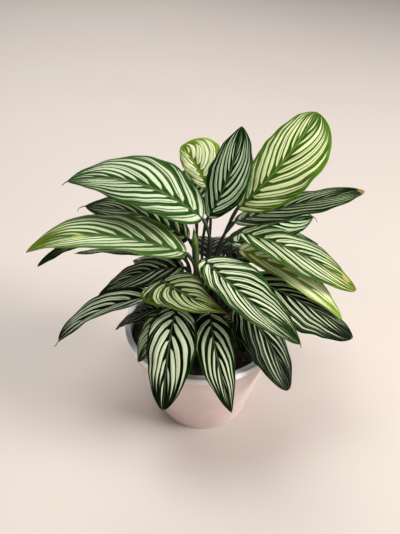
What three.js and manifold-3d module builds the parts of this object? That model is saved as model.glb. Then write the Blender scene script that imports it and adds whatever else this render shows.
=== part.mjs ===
// A potted calathea: a plastic pot, the potting mix in it, and one solid for each leaf with its stalk.
// Millimetres, +Z up, origin at the middle of the pot's flat base, front of the plant towards -Y.
import * as THREE from "three";
import { mergeVertices } from "three/addons/utils/BufferGeometryUtils.js";
import Module from "manifold-3d";

const manifold = await Module();
manifold.setup();

// ---- driving dimensions ----
const pot = {
  rimRadius: 75,       // outside of the rim band
  height: 107,
  baseRadius: 47.5,
  bandHeight: 7.5,     // the upright band round the rim
  bandStep: 2,         // how far the band stands out of the wall below it
  lipWidth: 5.4,
  wall: 2.4,
  floor: 3,
  footHeight: 9,       // the plain foot below the faint step in the wall
  footStep: 0.6,
  baseRound: 1.5,      // the rounded edge under the base
  edgeRound: 0.8,      // the rounded edges of the rim
  bandBevel: 1.2,      // height of the slopes under the band and at the foot's step
  innerBandDepth: 4,   // how far the upright inside of the rim goes down below the band
  drainRadius: 3.5,
  drainRing: 28,
  drainCount: 5,
  drainSides: 12,
  sides: 48,
};
const soil = {
  top: 95,
  crownRise: 4,        // the mix is heaped a little round the stalks
  edgeDepth: 3,        // its upright edge at the pot
  clearance: 0.3,      // to the pot
  holeDepth: 14,
  sides: 48,
};
const stalk = {
  footRadius: 1.6,
  neckRadius: 1.25,
  holeClearance: 0.45, // enough for a round stalk in a hole with as many flat sides
  straight: 7,         // upright length above the mix before the stalk leans
  reach: 0.35,         // share of the stalk's length that its bends take at each end
  upright: 0.8,        // how much steeper than the blade the stalk arrives at the neck
  rings: 7,
};
const blade = {
  thickness: 0.8,
  baseShape: 0.5,      // exponents of the outline towards the base and towards the tip
  tipShape: 0.82,
  tipWidth: 0.5,       // half width left at the very tip
  sag: 0.16,           // how far each half curves back down towards its margin
  stations: [0.03, 0.09, 0.18, 0.28, 0.39, 0.5, 0.61, 0.72, 0.82, 0.9, 0.96, 1],
  lanes: [-1, -0.5, 0, 0.5, 1],
};

// ---- the leaves ----
// foot: where the stalk stands in the mix; neck and tip: the ends of the blade's midrib.
// lift and drop raise the midrib over its first and last third, and sway bends it to its right.
// roll and twist turn the blade about the midrib, right margin up; fold lifts both halves;
// skew makes the right half wider than the left; taper slims the base; blunt rounds the tip.
const plainLeaf = {
  lift: 12, drop: 10, sway: 0, width: 44, roll: 0, twist: 0, fold: 8, skew: 0, taper: 0, blunt: 0,
};
const leafTable = {
  // left side, from the top down
  leaf_left_high: { foot: [-10, 5], neck: [0, 4, 219], tip: [-115, 22, 245], lift: 25, drop: 21, width: 56,
    roll: 22, skew: 0.15, blunt: -0.08 },
  leaf_left_shaded: { foot: [-15, 13], neck: [-13, 26, 184], tip: [-112, 56, 202], lift: 14, drop: 12,
    width: 46, roll: 15 },
  leaf_left_long: { foot: [-18, -2], neck: [-14, -4, 189], tip: [-152, -8, 193], lift: 18, drop: 30,
    width: 46, roll: 12, fold: 20, skew: 0.1 },
  leaf_left_edge: { foot: [-21, 7], neck: [-17, 12, 172], tip: [-151, 7, 167], lift: 20, drop: 44,
    width: 16, roll: -34, twist: 60, blunt: 0.3 },
  leaf_left_under: { foot: [-24, 17], neck: [-25, 33, 158], tip: [-127, 46, 154], lift: 12, drop: 8,
    width: 20, roll: -8 },
  leaf_left_low: { foot: [-26, 1], neck: [-17, 4, 168], tip: [-99, 7, 134], lift: 12, drop: 11, width: 38,
    roll: 8 },
  leaf_left_front: { foot: [-27, -9], neck: [-38, -26, 160], tip: [-130, -38, 117], lift: 14, drop: 20,
    width: 30, roll: 2, fold: 26, skew: 0.1, blunt: 0.35 },
  leaf_left_dark: { foot: [-26, -16], neck: [-30, -20, 137], tip: [-84, -10, 104], lift: 14, drop: 14,
    width: 28 },
  // front
  leaf_front_small: { foot: [-14, -10], neck: [-36, -20, 172], tip: [18, -64, 174], lift: 6, drop: 4,
    sway: 7, width: 53, fold: 10, skew: 0.05, taper: -0.2, blunt: -0.3 },
  leaf_front_broad: { foot: [6, -7], neck: [1, -20, 194], tip: [78, -76, 151], lift: 12, drop: 12, sway: 12,
    width: 50, fold: 18, skew: -0.15 },
  leaf_hanging_left: { foot: [-14, -22], neck: [-22, -44, 163], tip: [-34, -95, 92], lift: 22, drop: 20,
    width: 42, skew: -0.08, blunt: 0.2 },
  leaf_hanging_middle: { foot: [0, -24], neck: [6, -42, 155], tip: [24, -95, 89], lift: 20, drop: 16,
    sway: 6, width: 34 },
  leaf_hanging_right: { foot: [12, -20], neck: [28, -30, 150], tip: [79, -62, 80], lift: 24, drop: 22,
    width: 52, skew: 0.05, blunt: 0.25 },
  leaf_rim_left: { foot: [-21, -22], neck: [-26, -32, 142], tip: [-57, -58, 111], lift: 12, drop: 10,
    width: 36 },
  leaf_front_inner: { foot: [7, -27], neck: [16, -30, 138], tip: [36, -58, 122], lift: 12, drop: 12,
    width: 26 },
  // right side, from the top down
  leaf_right_long: { foot: [10, 9], neck: [27, 9, 213], tip: [140, 28, 233], lift: 4, drop: 4, width: 40,
    blunt: 0.2 },
  leaf_right_middle: { foot: [15, -2], neck: [31, 4, 206], tip: [143, 2, 144], lift: 12, drop: 12,
    width: 50, roll: -10, taper: 0.1, blunt: 0.2 },
  leaf_right_small: { foot: [24, 13], neck: [48, 45, 181], tip: [113, 80, 176], lift: 6, drop: 2, width: 38,
    roll: -32 },
  leaf_right_pale: { foot: [21, 3], neck: [31, 6, 187], tip: [127, -22, 128], lift: 11, drop: 16, width: 34,
    roll: -14, skew: -0.4, blunt: 0.1 },
  leaf_right_low: { foot: [17, -13], neck: [35, -6, 165], tip: [138, -30, 113], lift: 11, drop: 12,
    width: 44, roll: -22, fold: -4, skew: 0.15, blunt: 0.2 },
  // upright leaves in the middle
  leaf_tall_right: { foot: [7, 14], neck: [29, 11, 225], tip: [93, 42, 297], lift: 4, drop: 8, sway: 13,
    width: 52, roll: -34, skew: 0.15, taper: 0.2, blunt: 0.2 },
  leaf_tall_middle: { foot: [2, 6], neck: [4, 15, 213], tip: [31, 30, 290], lift: 2, drop: 4, sway: 10,
    width: 38, roll: -30, fold: 10, skew: 0.02, taper: 0.25 },
  leaf_young_curled: { foot: [-2, 20], neck: [4, 38, 230], tip: [-18, 38, 270], lift: 4, drop: 4, width: 37,
    roll: 75, skew: 0.45, blunt: 0.25 },
  // back
  leaf_back_high: { foot: [-7, 25], neck: [-6, 46, 196], tip: [-12, 110, 214], lift: 12, drop: 16,
    width: 48 },
  leaf_back_left: { foot: [-12, 30], neck: [-22, 48, 168], tip: [-86, 118, 168], lift: 16, drop: 16,
    width: 50 },
  leaf_back_right: { foot: [10, 20], neck: [28, 46, 165], tip: [128, 98, 130], lift: 16, drop: 16,
    width: 48 },
  leaf_back_low: { foot: [2, 28], neck: [8, 39, 154], tip: [13, 116, 118], lift: 20, drop: 22, width: 46 },
  leaf_back_left_low: { foot: [-21, 30], neck: [-34, 42, 142], tip: [-72, 96, 102], lift: 20, drop: 20,
    width: 44 },
  leaf_back_right_low: { foot: [14, 28], neck: [31, 47, 143], tip: [72, 104, 103], lift: 20, drop: 20,
    width: 44 },
};
const leaves = Object.fromEntries(
  Object.entries(leafTable).map(([name, leaf]) => [name, { ...plainLeaf, ...leaf }]),
);

// A new leaf, still rolled tight: a slim spindle on its own stalk.
const rolledLeaf = { foot: [-5, -1], top: [-8, 3, 212], rolledShare: 0.4, swell: 3.8, rings: 10 };

const ringSize = 2 * blade.lanes.length;   // points round a stalk, and round a section of a blade
const up = new THREE.Vector3(0, 0, 1);
const radians = THREE.MathUtils.degToRad;

// ---- solids and meshes ----
function solidOf(geometry) {
  const shape = geometry.clone();
  shape.deleteAttribute("normal");
  shape.deleteAttribute("uv");
  const merged = mergeVertices(shape, 1e-4);
  const { Mesh, Manifold } = manifold;
  return new Manifold(new Mesh({
    numProp: 3,
    vertProperties: Float32Array.from(merged.attributes.position.array),
    triVerts: Uint32Array.from(merged.index.array),
  }));
}

function geometryOf(solid) {
  const mesh = solid.getMesh();
  const geometry = new THREE.BufferGeometry();
  geometry.setAttribute("position", new THREE.BufferAttribute(mesh.vertProperties, 3));
  geometry.setIndex(new THREE.BufferAttribute(mesh.triVerts, 1));
  return geometry;
}

function named(name, geometry, material) {
  const mesh = new THREE.Mesh(geometry, material);
  mesh.name = name;
  return mesh;
}

// A profile of [radius, height] pairs turned about the Z axis.
function turned(profile, sides) {
  const points = profile.map(([radius, height]) => new THREE.Vector2(radius, height));
  return new THREE.LatheGeometry(points, sides).rotateX(Math.PI / 2);
}

// An upright round post, for cutting holes.
function post(x, y, bottom, top, radius, sides) {
  const length = top - bottom;
  const cylinder = new THREE.CylinderGeometry(radius, radius, length, sides);
  return solidOf(cylinder.rotateX(Math.PI / 2).translate(x, y, bottom + length / 2));
}

// A closed skin over rings of equally many points, each ring seen clockwise along the run.
// The first half of a ring is its top and the second half its underside, so both faces of a
// blade are split along the same diagonals.
function lofted(rings) {
  const count = ringSize;
  const half = count / 2;
  const positions = rings.flat().flatMap((point) => [point.x, point.y, point.z]);
  const index = [];
  for (let ring = 0; ring < rings.length - 1; ring += 1) {
    for (let i = 0; i < count; i += 1) {
      const next = (i + 1) % count;
      const a = ring * count + i;
      const b = ring * count + next;
      const c = b + count;
      const d = a + count;
      if (i < half) index.push(a, b, c, a, c, d);
      else index.push(a, b, d, b, c, d);
    }
  }
  const last = (rings.length - 1) * count;
  for (let i = 0; i < half - 1; i += 1) {
    const mirror = count - 1 - i;
    index.push(i, mirror, mirror - 1, i, mirror - 1, i + 1);
    index.push(last + i, last + mirror - 1, last + mirror, last + i, last + i + 1, last + mirror - 1);
  }
  const geometry = new THREE.BufferGeometry();
  geometry.setAttribute("position", new THREE.Float32BufferAttribute(positions, 3));
  geometry.setIndex(index);
  return geometry;
}

// ---- pot ----
const bandFoot = pot.height - pot.bandHeight;

function potWallRadius(height) {
  return THREE.MathUtils.lerp(pot.baseRadius, pot.rimRadius - pot.bandStep, height / bandFoot);
}

function innerWallRadius(height) {
  return potWallRadius(height) - pot.wall;
}

function makePot(material) {
  const lipRadius = pot.rimRadius - pot.lipWidth;
  const profile = [
    [0, 0],
    [pot.baseRadius - pot.baseRound, 0],
    [pot.baseRadius, pot.baseRound],
    [potWallRadius(pot.footHeight) - pot.footStep, pot.footHeight],
    [potWallRadius(pot.footHeight), pot.footHeight + pot.bandBevel],
    [potWallRadius(bandFoot), bandFoot],
    [pot.rimRadius, bandFoot + pot.bandBevel],
    [pot.rimRadius, pot.height - pot.edgeRound],
    [pot.rimRadius - pot.edgeRound, pot.height],
    [lipRadius + pot.edgeRound, pot.height],
    [lipRadius, pot.height - pot.edgeRound],
    [lipRadius, bandFoot - pot.innerBandDepth],
    [innerWallRadius(pot.height / 2), pot.height / 2],
    [innerWallRadius(pot.floor), pot.floor],
    [0, pot.floor],
  ];
  let body = solidOf(turned(profile, pot.sides));
  for (let i = 0; i < pot.drainCount; i += 1) {
    const angle = (2 * Math.PI * i) / pot.drainCount;
    const x = pot.drainRing * Math.cos(angle);
    const y = pot.drainRing * Math.sin(angle);
    body = body.subtract(post(x, y, -pot.floor, 2 * pot.floor, pot.drainRadius, pot.drainSides));
  }
  return named("pot", geometryOf(body), material);
}

// ---- leaves ----
// The stalk and the blade of one leaf are one skin: rings up the stalk, then flat rings along the blade.
function midribOf(leaf) {
  const neck = new THREE.Vector3(...leaf.neck);
  const tip = new THREE.Vector3(...leaf.tip);
  const chord = tip.clone().sub(neck);
  const right = new THREE.Vector3(chord.y, -chord.x, 0).normalize();
  const control = (share, height) => neck.clone().addScaledVector(chord, share)
    .addScaledVector(up, height).addScaledVector(right, leaf.sway);
  const curve = new THREE.CubicBezierCurve3(neck, control(1 / 3, leaf.lift), control(2 / 3, leaf.drop), tip);
  return { curve, right };
}

function bladeFrame(leaf, midrib, share) {
  const centre = midrib.curve.getPoint(share);
  const ahead = midrib.curve.getTangent(share);
  const side = midrib.right.clone().addScaledVector(ahead, -midrib.right.dot(ahead)).normalize();
  const normal = new THREE.Vector3().crossVectors(side, ahead);
  const turn = radians(leaf.roll + leaf.twist * share);
  return {
    centre,
    ahead,
    side: side.clone().multiplyScalar(Math.cos(turn)).addScaledVector(normal, Math.sin(turn)),
    normal: normal.multiplyScalar(Math.cos(turn)).addScaledVector(side, -Math.sin(turn)),
  };
}

function halfWidth(leaf, share) {
  const baseShape = blade.baseShape + leaf.taper;
  const tipShape = blade.tipShape - leaf.blunt;
  const widest = baseShape / (baseShape + tipShape);
  const outline = (share / widest) ** baseShape * ((1 - share) / (1 - widest)) ** tipShape;
  return Math.max((leaf.width / 2) * outline, blade.tipWidth);
}

function bladeRing(leaf, midrib, share) {
  const { centre, side, normal } = bladeFrame(leaf, midrib, share);
  const reach = halfWidth(leaf, share);
  const fold = radians(leaf.fold);
  const at = (lane, offset) => {
    const span = reach * (1 + leaf.skew * Math.sign(lane));
    const height = span * (Math.abs(lane) * Math.sin(fold) - blade.sag * lane * lane) + offset;
    return centre.clone().addScaledVector(side, span * lane * Math.cos(fold)).addScaledVector(normal, height);
  };
  const top = blade.lanes.map((lane) => at(lane, blade.thickness / 2));
  const underside = blade.lanes.map((lane) => at(lane, -blade.thickness / 2)).reverse();
  return [...top, ...underside];
}

function stalkRing(centre, ahead, sideBefore, radius) {
  const side = sideBefore.clone().addScaledVector(ahead, -sideBefore.dot(ahead)).normalize();
  const normal = new THREE.Vector3().crossVectors(side, ahead);
  const ring = [];
  for (let i = 0; i < ringSize; i += 1) {
    const angle = Math.PI * (1 - (i + 0.5) / blade.lanes.length);
    ring.push(centre.clone().addScaledVector(side, radius * Math.cos(angle))
      .addScaledVector(normal, radius * Math.sin(angle)));
  }
  return { ring, side };
}

function soilHeight(x, y) {
  const share = Math.min(Math.hypot(x, y) / (pot.rimRadius - pot.lipWidth), 1);
  return soil.top + soil.crownRise * (1 - share * share);
}

function stalkCurve(leaf, ahead) {
  const [x, y] = leaf.foot;
  const start = new THREE.Vector3(x, y, soilHeight(x, y) + stalk.straight);
  const neck = new THREE.Vector3(...leaf.neck);
  const length = start.distanceTo(neck);
  const lean = ahead.clone().addScaledVector(up, stalk.upright).normalize();
  return new THREE.CubicBezierCurve3(
    start,
    start.clone().addScaledVector(up, length * stalk.reach),
    neck.clone().addScaledVector(lean, -length * stalk.reach),
    neck,
  );
}

function makeLeaf(name, leaf, material) {
  const midrib = midribOf(leaf);
  const start = bladeFrame(leaf, midrib, 0);
  const curve = stalkCurve(leaf, start.ahead);
  const [x, y] = leaf.foot;
  const rings = [];
  let side = start.side;
  for (let i = stalk.rings; i >= 0; i -= 1) {
    const share = i / stalk.rings;
    const radius = THREE.MathUtils.lerp(stalk.footRadius, stalk.neckRadius, share);
    const made = stalkRing(curve.getPoint(share), curve.getTangent(share), side, radius);
    rings.unshift(made.ring);
    side = made.side;
  }
  const bottom = new THREE.Vector3(x, y, soilHeight(x, y) - soil.holeDepth + soil.clearance);
  rings.unshift(stalkRing(bottom, up, side, stalk.footRadius).ring);
  for (const share of blade.stations) rings.push(bladeRing(leaf, midrib, share));
  return named(name, lofted(rings), material);
}

function makeRolledLeaf(material) {
  const [x, y] = rolledLeaf.foot;
  const surface = soilHeight(x, y);
  const base = new THREE.Vector3(x, y, surface + stalk.straight);
  const top = new THREE.Vector3(...rolledLeaf.top);
  const curve = new THREE.QuadraticBezierCurve3(base, new THREE.Vector3(x, y, (base.z + top.z) / 2), top);
  const side = new THREE.Vector3(1, 0, 0);
  const bottom = new THREE.Vector3(x, y, surface - soil.holeDepth + soil.clearance);
  const rings = [stalkRing(bottom, up, side, stalk.footRadius).ring];
  for (let i = 0; i <= rolledLeaf.rings; i += 1) {
    const share = i / rolledLeaf.rings;
    const rolled = Math.max(1 - (1 - share) / rolledLeaf.rolledShare, 0);
    const radius = stalk.footRadius + (rolledLeaf.swell - stalk.footRadius) * Math.sin(Math.PI * rolled);
    rings.push(stalkRing(curve.getPoint(share), curve.getTangent(share), side,
      i < rolledLeaf.rings ? radius : blade.tipWidth).ring);
  }
  return named("leaf_rolled_new", lofted(rings), material);
}

// ---- potting mix, with a plain hole for each stalk ----
function makeSoil(material) {
  const edge = (height) => innerWallRadius(height) - soil.clearance;
  const floor = pot.floor + soil.clearance;
  const brim = edge(soil.top - soil.edgeDepth);
  const profile = [
    [0, floor],
    [edge(floor), floor],
    [edge(pot.height / 2), pot.height / 2],
    [brim, soil.top - soil.edgeDepth],
    [brim, soilHeight(brim, 0)],
  ];
  for (let i = 3; i >= 0; i -= 1) profile.push([(brim * i) / 4, soilHeight((brim * i) / 4, 0)]);
  let body = solidOf(turned(profile, soil.sides));
  for (const { foot: [x, y] } of [...Object.values(leaves), rolledLeaf]) {
    const top = soilHeight(x, y);
    const radius = stalk.footRadius + stalk.holeClearance;
    body = body.subtract(post(x, y, top - soil.holeDepth, top + soil.edgeDepth, radius, ringSize));
  }
  return named("soil", geometryOf(body), material);
}

const materials = {
  pot: new THREE.MeshStandardMaterial({ color: 0xf1e9e6, roughness: 0.35, metalness: 0 }),
  soil: new THREE.MeshStandardMaterial({ color: 0x241b15, roughness: 1, metalness: 0 }),
  leaf: new THREE.MeshStandardMaterial({ color: 0x4c7a3a, roughness: 0.5, metalness: 0 }),
};

const plant = new THREE.Group();
plant.add(makePot(materials.pot), makeSoil(materials.soil));
for (const [name, leaf] of Object.entries(leaves)) plant.add(makeLeaf(name, leaf, materials.leaf));
plant.add(makeRolledLeaf(materials.leaf));

export default plant;
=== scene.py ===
import math
import random

import bmesh
import bpy
from mathutils import Matrix, Vector, noise


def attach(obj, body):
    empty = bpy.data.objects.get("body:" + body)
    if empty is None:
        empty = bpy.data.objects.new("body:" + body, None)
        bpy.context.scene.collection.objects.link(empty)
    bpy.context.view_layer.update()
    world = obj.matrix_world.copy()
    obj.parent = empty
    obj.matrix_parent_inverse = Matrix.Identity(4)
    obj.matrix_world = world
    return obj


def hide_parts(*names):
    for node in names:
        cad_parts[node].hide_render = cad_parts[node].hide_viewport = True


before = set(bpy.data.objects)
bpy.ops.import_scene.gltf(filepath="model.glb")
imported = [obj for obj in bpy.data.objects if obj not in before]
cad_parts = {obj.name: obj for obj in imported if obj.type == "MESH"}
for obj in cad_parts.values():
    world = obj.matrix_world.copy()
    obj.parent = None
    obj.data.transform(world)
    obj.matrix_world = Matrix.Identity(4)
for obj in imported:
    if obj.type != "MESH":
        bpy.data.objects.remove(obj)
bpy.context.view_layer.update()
print("frame loaded:", len(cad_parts), "nodes")

mm = 0.001
up = Vector((0, 0, 1))


# Turns a screen colour, 0 to 255, into linear light.
def paint(red, green, blue):
    shares = [value / 255 for value in (red, green, blue)]
    linear = [share / 12.92 if share <= 0.04045 else ((share + 0.055) / 1.055) ** 2.4 for share in shares]
    return (*linear, 1)


def ease(low, high, value):
    share = min(max((value - low) / (high - low), 0), 1)
    return share * share * (3 - 2 * share)


def blend(low, high, share):
    return low + (high - low) * share


def connect(value, socket):
    if isinstance(value, bpy.types.NodeSocket):
        socket.id_data.links.new(value, socket)
    else:
        socket.default_value = value


# the node tree that these values are in
def treeOf(*values):
    return next(value.id_data for value in values if isinstance(value, bpy.types.NodeSocket))


def addNode(tree, kind, inputs=None, **settings):
    node = tree.nodes.new(kind)
    for key, value in settings.items():
        setattr(node, key, value)
    for key, value in (inputs or {}).items():
        connect(value, node.inputs[key])
    return node


def calc(operation, *values):
    return addNode(treeOf(*values), "ShaderNodeMath", dict(enumerate(values)), operation=operation).outputs[0]


def times(first, *others):
    for other in others:
        first = calc("MULTIPLY", first, other)
    return first


def minus(first, second):
    return calc("SUBTRACT", first, second)


# From start to end while the value goes from low to high.
def fade(value, low, high, start=0.0, end=1.0):
    inputs = dict(enumerate((value, low, high, start, end)))
    return addNode(treeOf(value), "ShaderNodeMapRange", inputs, interpolation_type="SMOOTHSTEP").outputs[0]


def mix(share, first, second, mode="MIX"):
    node = addNode(treeOf(share, first, second), "ShaderNodeMix", data_type="RGBA", blend_type=mode)
    for index, value in ((0, share), (6, first), (7, second)):
        connect(value, node.inputs[index])
    return node.outputs[2]


def newMaterial(name):
    material = bpy.data.materials.new(name)
    material.use_nodes = True
    tree = material.node_tree
    tree.nodes.clear()
    shader = tree.nodes.new("ShaderNodeBsdfPrincipled")
    output = tree.nodes.new("ShaderNodeOutputMaterial")
    tree.links.new(shader.outputs[0], output.inputs[0])
    return material, tree, shader


def placedNoise(place, scale, detail, roughness=0.5):
    inputs = {"Vector": place, "Scale": scale, "Detail": detail, "Roughness": roughness}
    return addNode(place.id_data, "ShaderNodeTexNoise", inputs).outputs[0]


# Noise on Object coordinates, its scale per metre.
def objectNoise(tree, scale, detail=3.0, roughness=0.5, stretch=(1, 1, 1)):
    place = addNode(tree, "ShaderNodeTexCoord").outputs["Object"]
    mapped = addNode(tree, "ShaderNodeMapping", {"Vector": place, "Scale": stretch}).outputs[0]
    return placedNoise(mapped, scale, detail, roughness)


# Gives a shader its colour, its roughness and its bump.
def finishLooks(shader, colour, roughness, height, strength, distance):
    connect(colour, shader.inputs["Base Color"])
    connect(roughness, shader.inputs["Roughness"])
    inputs = {"Height": height, "Strength": strength, "Distance": distance}
    connect(addNode(shader.id_data, "ShaderNodeBump", inputs).outputs[0], shader.inputs["Normal"])


def finishPiece(name, bm, materials, node=None):
    mesh = bpy.data.meshes.new(name)
    bm.to_mesh(mesh)
    bm.free()
    for material in materials:
        mesh.materials.append(material)
    mesh.shade_smooth()
    piece = bpy.data.objects.new(name, mesh)
    bpy.context.collection.objects.link(piece)
    if node:
        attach(piece, "root")
        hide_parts(node)
    return piece


def only(kind, parts):
    return [part for part in parts if isinstance(part, kind)]


# Joins points of radius and height, in mm, into a profile.
def drawProfile(bm, points):
    verts = [bm.verts.new((radius * mm, 0, height * mm)) for radius, height in points]
    for first, second in zip(verts, verts[1:]):
        bm.edges.new((first, second))
    return verts


def spinProfile(bm, steps):
    bmesh.ops.spin(bm, geom=bm.verts[:] + bm.edges[:], cent=(0, 0, 0), axis=(0, 0, 1),
                   angle=2 * math.pi, steps=steps, use_merge=True)


# Carries a ring along a run of matrices, leaving a skin behind it, and closes both ends.
def sweepTube(bm, places, sides, materialIndex):
    ring = bmesh.ops.create_circle(bm, segments=sides, radius=1, cap_ends=True)["verts"]
    faces = set(ring[0].link_faces)
    bmesh.ops.transform(bm, matrix=places[0], verts=ring)
    edges = list({edge for vert in ring for edge in vert.link_edges})
    runs = [(0.0, ring)]
    for index in range(1, len(places)):
        made = bmesh.ops.extrude_edge_only(bm, edges=edges)["geom"]
        verts, edges = only(bmesh.types.BMVert, made), only(bmesh.types.BMEdge, made)
        faces.update(only(bmesh.types.BMFace, made))
        bmesh.ops.transform(bm, matrix=places[index] @ places[index - 1].inverted(), verts=verts)
        runs.append((index / (len(places) - 1), verts))
    faces.update(bmesh.ops.contextual_create(bm, geom=edges)["faces"])
    bmesh.ops.recalc_face_normals(bm, faces=list(faces))
    for face in faces:
        face.material_index = materialIndex
    return runs, faces


def placeAt(centre, side, ahead, width, height=None):
    side = (side - ahead * side.dot(ahead)).normalized()
    normal = side.cross(ahead).normalized()
    matrix = Matrix((side * width, normal * (height or width), ahead)).transposed().to_4x4()
    matrix.translation = centre
    return matrix


def cubicPoint(points, share):
    rest = 1 - share
    weights = (rest ** 3, 3 * rest * rest * share, 3 * rest * share * share, share ** 3)
    return sum((point * weight for point, weight in zip(points, weights)), Vector())


def cubicAhead(points, share):
    rest = 1 - share
    steps = [after - before for before, after in zip(points, points[1:])]
    weights = (rest * rest, 2 * rest * share, share * share)
    return sum((step * weight for step, weight in zip(steps, weights)), Vector()).normalized()


# the pot, in mm
potPlan = {
    "rimRadius": 75, "height": 107, "baseRadius": 47.5, "wall": 2.4, "floor": 3,
    "bandHeight": 7.5, "bandStep": 2, "bandSlope": 1.2, "innerBandDepth": 4, "lipWidth": 5.4,
    "footHeight": 9, "footStep": 0.6, "footSlope": 1.2,
    "plateRadius": 40,   # the flat middle of the floor, where the drain holes are
    "drainRadius": 3.5, "drainRing": 28, "drainCount": 5, "drainSides": 24,
    "edgeRound": 0.55, "roundSteps": 3, "steps": 144, "sharpAngle": 50,
    # the band colour is painted light on the lip
    "plastic": paint(230, 209, 205), "shade": paint(213, 188, 181), "paintedLitRim": paint(252, 250, 254),
    "dustAndShade": paint(176, 160, 146), "dustTop": 14, "dustShare": 0.55, "specksAllOver": 0.12,
    # the line under the band is painted shade; the dust colour paints both the dust specks and this shade
    # line
    "shadeLineDrop": 1, "shadeLineWidth": 1.6, "shadeLineShare": 0.5,
}


def wallRadius(height):
    bandFoot = potPlan["height"] - potPlan["bandHeight"]
    return blend(potPlan["baseRadius"], potPlan["rimRadius"] - potPlan["bandStep"], height / bandFoot)


def potMaterial():
    material, tree, shader = newMaterial("pinkishWhitePlastic")
    clouds = fade(objectNoise(tree, 14, 4, 0.6), 0.35, 0.7)
    colour = mix(clouds, potPlan["plastic"], potPlan["shade"])
    place = addNode(tree, "ShaderNodeTexCoord").outputs["Object"]
    heightOf = addNode(tree, "ShaderNodeSeparateXYZ", {"Vector": place}).outputs[2]
    # the band is whiter, painted light on the lip, with a line of painted shade under it in the dust colour
    bandFoot = potPlan["height"] - potPlan["bandHeight"]
    onBand = fade(heightOf, bandFoot * mm, (bandFoot + potPlan["bandStep"]) * mm)
    colour = mix(onBand, colour, potPlan["paintedLitRim"])
    fromLine = minus(heightOf, (bandFoot - potPlan["shadeLineDrop"]) * mm)
    shadeLineWidth = potPlan["shadeLineWidth"] * mm
    shadeLine = fade(calc("ABSOLUTE", fromLine), 0.0, shadeLineWidth, potPlan["shadeLineShare"], 0.0)
    colour = mix(shadeLine, colour, potPlan["dustAndShade"])
    # specks of dust, mostly near the foot
    lowDust = fade(heightOf, 0.0, potPlan["dustTop"] * mm, potPlan["dustShare"], 0.0)
    specks = fade(objectNoise(tree, 260, 5, 0.7), 0.56, 0.72)
    dustAndShade = times(specks, calc("ADD", lowDust, potPlan["specksAllOver"]))
    colour = mix(dustAndShade, colour, potPlan["dustAndShade"])
    roughness = fade(objectNoise(tree, 90, 6, 0.65, (1, 1, 0.25)), 0.3, 0.75, 0.3, 0.46)
    plastic = {"Coat Weight": 0.15, "Coat Roughness": 0.25, "Subsurface Weight": 0.08,
               "Subsurface Radius": (1.0, 0.6, 0.5), "Subsurface Scale": 0.004}
    for key, value in plastic.items():
        shader.inputs[key].default_value = value
    grain = calc("ADD", objectNoise(tree, 900, 2), objectNoise(tree, 60, 2))
    finishLooks(shader, colour, roughness, grain, 0.06, 0.0003)
    return material


def potProfile():
    bandFoot = potPlan["height"] - potPlan["bandHeight"]
    top, rim, wall = potPlan["height"], potPlan["rimRadius"], potPlan["wall"]
    lip = rim - potPlan["lipWidth"]
    foot, slope, floor = potPlan["footHeight"], potPlan["bandSlope"], potPlan["floor"]
    return [
        (potPlan["plateRadius"], 0), (potPlan["baseRadius"], 0),
        (wallRadius(foot) - potPlan["footStep"], foot), (wallRadius(foot), foot + potPlan["footSlope"]),
        (wallRadius(bandFoot - slope), bandFoot - slope), (rim, bandFoot + slope),
        (rim, top), (lip, top), (lip, bandFoot - potPlan["innerBandDepth"]),
        (wallRadius(top / 2) - wall, top / 2), (wallRadius(floor) - wall, floor),
        (potPlan["plateRadius"], floor),
    ]


def edgeCircle(bm, segments, radius, x=0, y=0):
    made = bmesh.ops.create_circle(bm, segments=segments, radius=radius * mm, cap_ends=False,
                                   matrix=Matrix.Translation((x * mm, y * mm, 0)))
    return {edge for vert in made["verts"] for edge in vert.link_edges}


def addFloorPlate(bm):
    loops = edgeCircle(bm, potPlan["steps"], potPlan["plateRadius"])
    ring = potPlan["drainRing"]
    for hole in range(potPlan["drainCount"]):
        turn = 2 * math.pi * hole / potPlan["drainCount"]
        x, y = ring * math.cos(turn), ring * math.sin(turn)
        loops |= edgeCircle(bm, potPlan["drainSides"], potPlan["drainRadius"], x, y)
    plate = bmesh.ops.triangle_fill(bm, edges=list(loops), use_beauty=True)["geom"]
    plateFaces = only(bmesh.types.BMFace, plate)
    raised = bmesh.ops.extrude_face_region(bm, geom=plateFaces, use_keep_orig=True)["geom"]
    bmesh.ops.translate(bm, vec=(0, 0, potPlan["floor"] * mm), verts=only(bmesh.types.BMVert, raised))
    # the plate's outer wall lies inside the plastic
    inside = []
    for face in bm.faces:
        centre = face.calc_center_median() / mm
        onPlateEdge = abs(centre.to_2d().length - potPlan["plateRadius"]) < 0.1
        if onPlateEdge and centre.z < potPlan["floor"] - 0.1 and abs(face.normal.z) < 0.1:
            inside.append(face)
    bmesh.ops.delete(bm, geom=inside, context="FACES")


def makePot():
    bm = bmesh.new()
    verts = drawProfile(bm, potProfile())
    # round every corner of the profile but its two ends
    bmesh.ops.bevel(bm, geom=verts[1:-1], offset=potPlan["edgeRound"] * mm, offset_type="OFFSET",
                    affect="VERTICES", segments=potPlan["roundSteps"], profile=0.5, material=-1)
    spinProfile(bm, potPlan["steps"])
    addFloorPlate(bm)
    bmesh.ops.remove_doubles(bm, verts=bm.verts[:], dist=0.01 * mm)
    bmesh.ops.recalc_face_normals(bm, faces=bm.faces[:])
    pot = finishPiece("plasticPot", bm, [potMaterial()], "pot")
    pot.data.set_sharp_from_angle(angle=math.radians(potPlan["sharpAngle"]))


# the potting mix, in mm
soilPlan = {
    "top": 95, "crownRise": 4, "depth": 12, "edgeRadius": 69, "footRadius": 65.5, "rings": 90, "steps": 220,
    "lumps": 1.5, "clods": 1.5, "settle": 0.9, "calmEdge": 4,
    "crumbs": 420, "crumbSize": (0.6, 1.9), "stoneShare": 0.09,
    "peat": paint(24, 17, 12), "bark": paint(66, 44, 30), "fibre": paint(92, 66, 44),
    "stone": paint(196, 186, 168), "dirtyStone": paint(120, 104, 86),
}


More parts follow.
